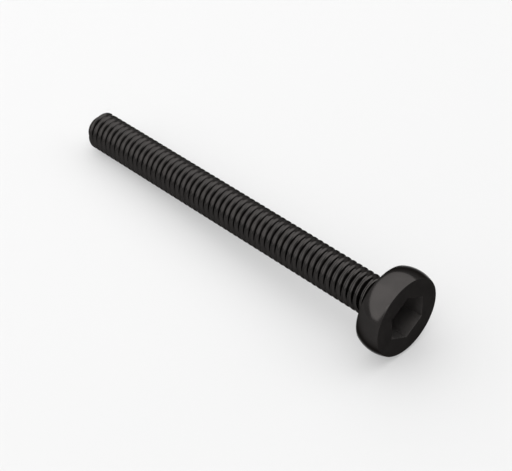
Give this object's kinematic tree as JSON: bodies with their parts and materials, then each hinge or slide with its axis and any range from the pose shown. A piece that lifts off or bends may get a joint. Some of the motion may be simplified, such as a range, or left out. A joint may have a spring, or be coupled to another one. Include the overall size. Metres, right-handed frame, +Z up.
{
  "type": "screw",
  "caption": "Machine screw with a thread up to the head, a pan head with a crowned side and a flat top, and a hexagon socket, lying at rest.",
  "frame": {"origin": "under the middle of the screw as it lies, on the table that it rests on", "axes": "+X towards the head along the screw, whose axis rises 3.25 degrees towards the head because the head's rim and the thread's far crest both touch the table; +Z up; the screw is in the XZ plane"},
  "size_m": [0.0428, 0.0084, 0.0085],
  "materials": {
    "screw": "black oxide, satin"
  },
  "bodies": {
    "root": {"screw": "screw"}
  },
  "joints": []
}
